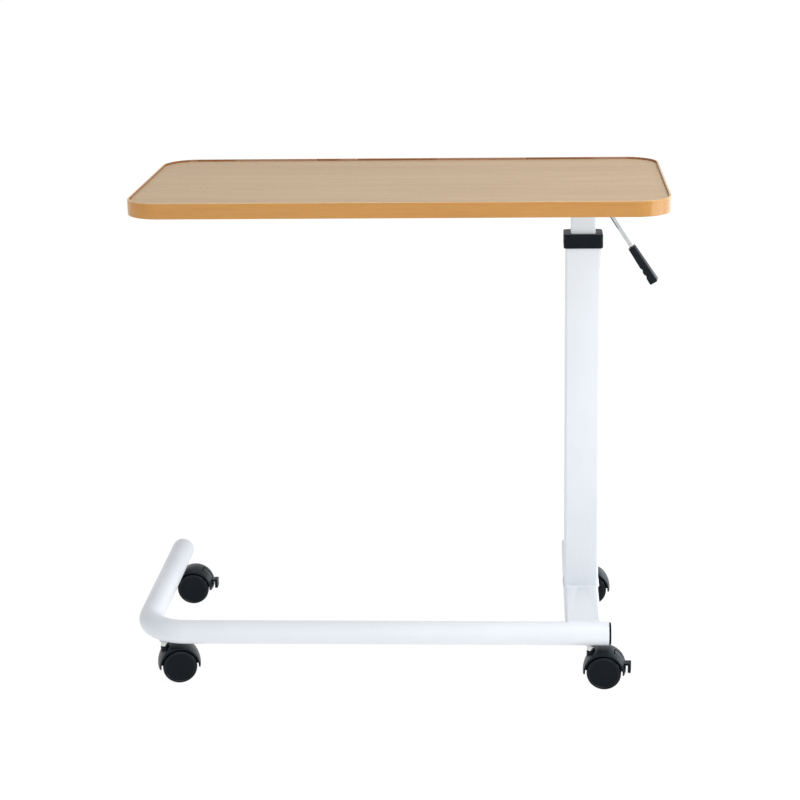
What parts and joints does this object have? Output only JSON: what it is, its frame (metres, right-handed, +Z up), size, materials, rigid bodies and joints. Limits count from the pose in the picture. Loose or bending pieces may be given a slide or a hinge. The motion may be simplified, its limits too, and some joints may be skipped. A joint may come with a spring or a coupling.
{
  "type": "overbed table",
  "caption": "Overbed table with a lipped rectangular top on a telescopic gas-spring column, a bent-tube and rail base, and swivel casters with foot brakes.",
  "frame": {"origin": "on the floor, under the middle of the overall length and depth", "axes": "+X along the tabletop towards the column, +Y to the open back of the base, +Z up"},
  "size_m": [0.7854, 0.38, 0.726],
  "materials": {
    "white_coat": "smooth white powder coat, satin gloss",
    "beech_laminate": "fine-grained light beech laminate, satin",
    "beech_band": "honey-coloured beech lipping, clear lacquer",
    "board_core": "raw pressed fibre board",
    "backing_paper": "pale matt balancing sheet",
    "black_plastic": "fine-textured black moulding",
    "black_nylon": "satin black glass-filled nylon",
    "wheel_nylon": "black nylon, lightly scuffed tread",
    "bright_steel": "bright plated steel",
    "zinc_steel": "zinc-plated steel",
    "cylinder_paint": "black painted steel"
  },
  "bodies": {
    "base": {"base_tube": "white_coat", "base_rail": "white_coat", "front_end_cap": "black_plastic", "rear_end_cap": "black_plastic", "rail_end_cap": "black_plastic", "outer_column": "white_coat", "column_foot_plate": "white_coat", "column_collar": "black_plastic", "gas_cylinder": "cylinder_paint", "gas_guide": "black_plastic", "cylinder_foot_nut": "zinc_steel", "caster_sockets": "zinc_steel", "caster_stem_front_left": "bright_steel", "caster_stem_front_right": "bright_steel", "caster_stem_rear_left": "bright_steel", "caster_stem_rear_right": "bright_steel"},
    "lifting_top": {"inner_column": "white_coat", "column_glide": "black_plastic", "support_beam": "white_coat", "beam_end_caps": "black_plastic", "cross_bar_left": "white_coat", "cross_bar_right": "white_coat", "wood_screws": "zinc_steel", "tabletop_board": "board_core", "top_laminate": "beech_laminate", "backing_sheet": "backing_paper", "edge_band_main": "beech_band", "edge_band_rear": "beech_band", "edge_band_insert": "beech_band", "gas_rod": "bright_steel", "gas_piston": "zinc_steel", "release_head": "zinc_steel", "lever_pin": "bright_steel", "lever_spring": "bright_steel"},
    "release_lever": {"lever_rod": "bright_steel", "lever_grip": "black_plastic"},
    "valve_pin": {"release_pin": "bright_steel"},
    "swivel_front_left": {"caster_hood_front_left": "black_nylon", "caster_axle_front_left": "bright_steel"},
    "roller_front_left_front": {"wheel_front_left_front": "wheel_nylon"},
    "roller_front_left_back": {"wheel_front_left_back": "wheel_nylon"},
    "swivel_front_right": {"caster_hood_front_right": "black_nylon", "caster_axle_front_right": "bright_steel", "brake_pin_front_right": "bright_steel"},
    "roller_front_right_front": {"wheel_front_right_front": "wheel_nylon"},
    "roller_front_right_back": {"wheel_front_right_back": "wheel_nylon"},
    "pedal_front_right": {"brake_pedal_front_right": "black_nylon"},
    "swivel_rear_left": {"caster_hood_rear_left": "black_nylon", "caster_axle_rear_left": "bright_steel", "brake_pin_rear_left": "bright_steel"},
    "roller_rear_left_front": {"wheel_rear_left_front": "wheel_nylon"},
    "roller_rear_left_back": {"wheel_rear_left_back": "wheel_nylon"},
    "pedal_rear_left": {"brake_pedal_rear_left": "black_nylon"},
    "swivel_rear_right": {"caster_hood_rear_right": "black_nylon", "caster_axle_rear_right": "bright_steel"},
    "roller_rear_right_front": {"wheel_rear_right_front": "wheel_nylon"},
    "roller_rear_right_back": {"wheel_rear_right_back": "wheel_nylon"}
  },
  "joints": [
    {"name": "height_slide", "type": "slide", "parent": "base", "child": "lifting_top", "axis": [0, 0, 1], "range_m": [0, 0.3]},
    {"name": "lever_squeeze", "type": "hinge", "parent": "lifting_top", "child": "release_lever", "pos_m": [0.28675, 0, 0.672], "axis": [0, -1, 0], "range_deg": [0, 10], "stiffness_Nm_per_rad": 0.8, "springref_deg": -5.73},
    {"name": "valve_pin_slide", "type": "slide", "parent": "lifting_top", "child": "valve_pin", "axis": [0, 0, -1], "range_m": [0, 0.0022]},
    {"name": "swivel_turn_front_left", "type": "hinge", "parent": "base", "child": "swivel_front_left", "pos_m": [-0.34702, -0.154, 0.0534], "axis": [0, 0, 1], "continuous": true},
    {"name": "wheel_spin_front_left_front", "type": "hinge", "parent": "swivel_front_left", "child": "roller_front_left_front", "pos_m": [-0.32753, -0.1495, 0.0254], "axis": [-0.225, 0.9744, 0], "continuous": true},
    {"name": "wheel_spin_front_left_back", "type": "hinge", "parent": "swivel_front_left", "child": "roller_front_left_back", "pos_m": [-0.32753, -0.1495, 0.0254], "axis": [-0.225, 0.9744, 0], "continuous": true},
    {"name": "swivel_turn_front_right", "type": "hinge", "parent": "base", "child": "swivel_front_right", "pos_m": [0.28575, -0.164, 0.0534], "axis": [0, 0, 1], "continuous": true},
    {"name": "wheel_spin_front_right_front", "type": "hinge", "parent": "swivel_front_right", "child": "roller_front_right_front", "pos_m": [0.30567, -0.16574, 0.0254], "axis": [0.0872, 0.9962, 0], "continuous": true},
    {"name": "wheel_spin_front_right_back", "type": "hinge", "parent": "swivel_front_right", "child": "roller_front_right_back", "pos_m": [0.30567, -0.16574, 0.0254], "axis": [0.0872, 0.9962, 0], "continuous": true},
    {"name": "pedal_lift_front_right", "type": "hinge", "parent": "swivel_front_right", "child": "pedal_front_right", "pos_m": [0.3196, -0.16696, 0.04613], "axis": [-0.0872, -0.9962, 0], "range_deg": [0, 14]},
    {"name": "swivel_turn_rear_left", "type": "hinge", "parent": "base", "child": "swivel_rear_left", "pos_m": [-0.37525, 0.163, 0.0534], "axis": [0, 0, 1], "continuous": true},
    {"name": "wheel_spin_rear_left_front", "type": "hinge", "parent": "swivel_rear_left", "child": "roller_rear_left_front", "pos_m": [-0.35525, 0.16335, 0.0254], "axis": [-0.0175, 0.9998, 0], "continuous": true},
    {"name": "wheel_spin_rear_left_back", "type": "hinge", "parent": "swivel_rear_left", "child": "roller_rear_left_back", "pos_m": [-0.35525, 0.16335, 0.0254], "axis": [-0.0175, 0.9998, 0], "continuous": true},
    {"name": "pedal_lift_rear_left", "type": "hinge", "parent": "swivel_rear_left", "child": "pedal_rear_left", "pos_m": [-0.34127, 0.16359, 0.04613], "axis": [0.0175, -0.9998, 0], "range_deg": [0, 14]},
    {"name": "swivel_turn_rear_right", "type": "hinge", "parent": "base", "child": "swivel_rear_right", "pos_m": [0.27475, 0.163, 0.0534], "axis": [0, 0, 1], "continuous": true},
    {"name": "wheel_spin_rear_right_front", "type": "hinge", "parent": "swivel_rear_right", "child": "roller_rear_right_front", "pos_m": [0.29475, 0.163, 0.0254], "axis": [0, 1, 0], "continuous": true},
    {"name": "wheel_spin_rear_right_back", "type": "hinge", "parent": "swivel_rear_right", "child": "roller_rear_right_back", "pos_m": [0.29475, 0.163, 0.0254], "axis": [0, 1, 0], "continuous": true}
  ],
  "couplings": [
    {"joint": "valve_pin_slide", "follows": "lever_squeeze", "m_per_rad": 0.012}
  ]
}
